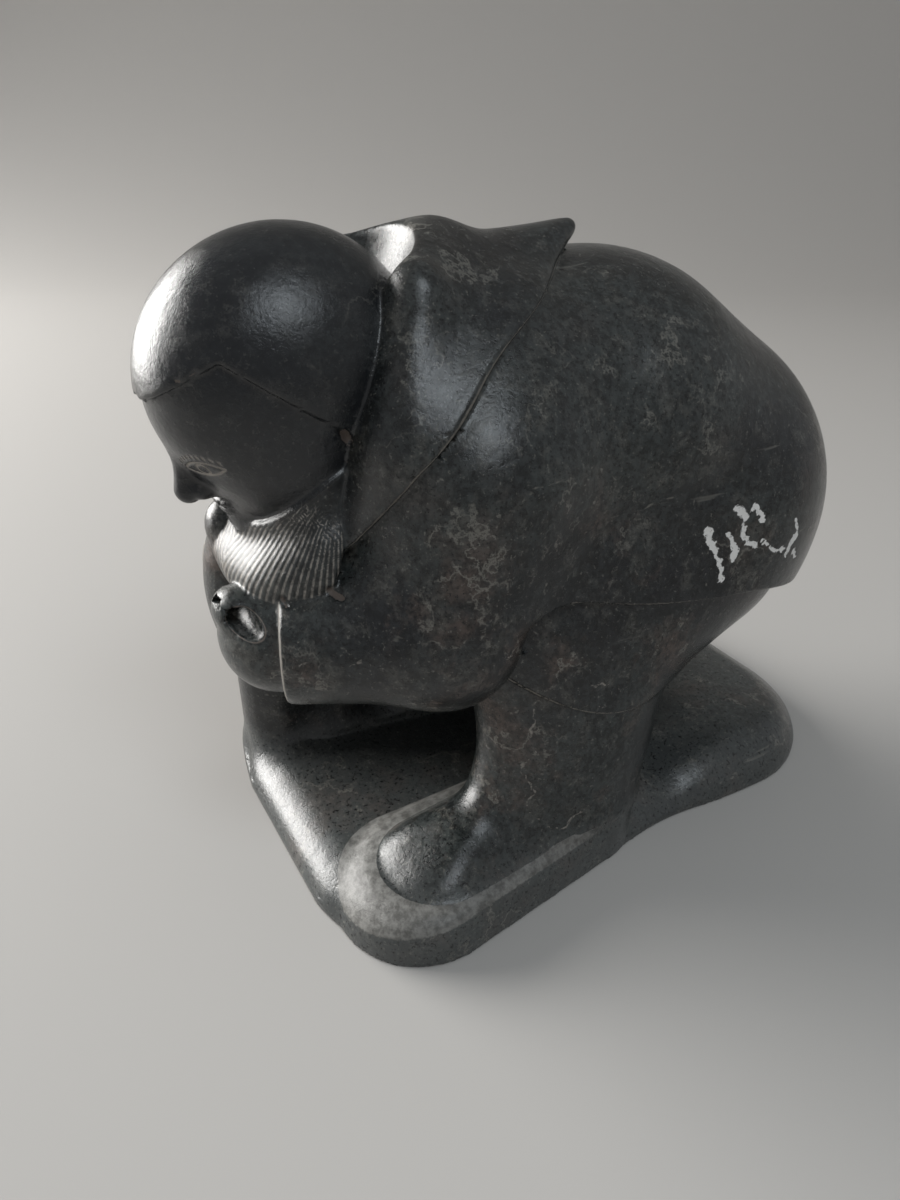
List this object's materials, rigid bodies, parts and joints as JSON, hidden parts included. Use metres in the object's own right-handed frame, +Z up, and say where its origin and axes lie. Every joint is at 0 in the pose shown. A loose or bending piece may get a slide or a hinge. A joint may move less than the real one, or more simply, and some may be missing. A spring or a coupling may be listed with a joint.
{
  "type": "stone figure carving",
  "caption": "Polished dark stone carving of a bearded figure stooping in a hooded parka, cut in one piece with its low rounded base.",
  "frame": {"origin": "centre of the base's plan, on the underside", "axes": "+Z up, the figure faces -Y, its left side is +X"},
  "size_m": [0.188, 0.3145, 0.2655],
  "materials": {
    "stone": "polished near-black serpentine with greenish grey and brown patches and pale veins"
  },
  "bodies": {
    "root": {"carving": "stone"}
  },
  "joints": []
}
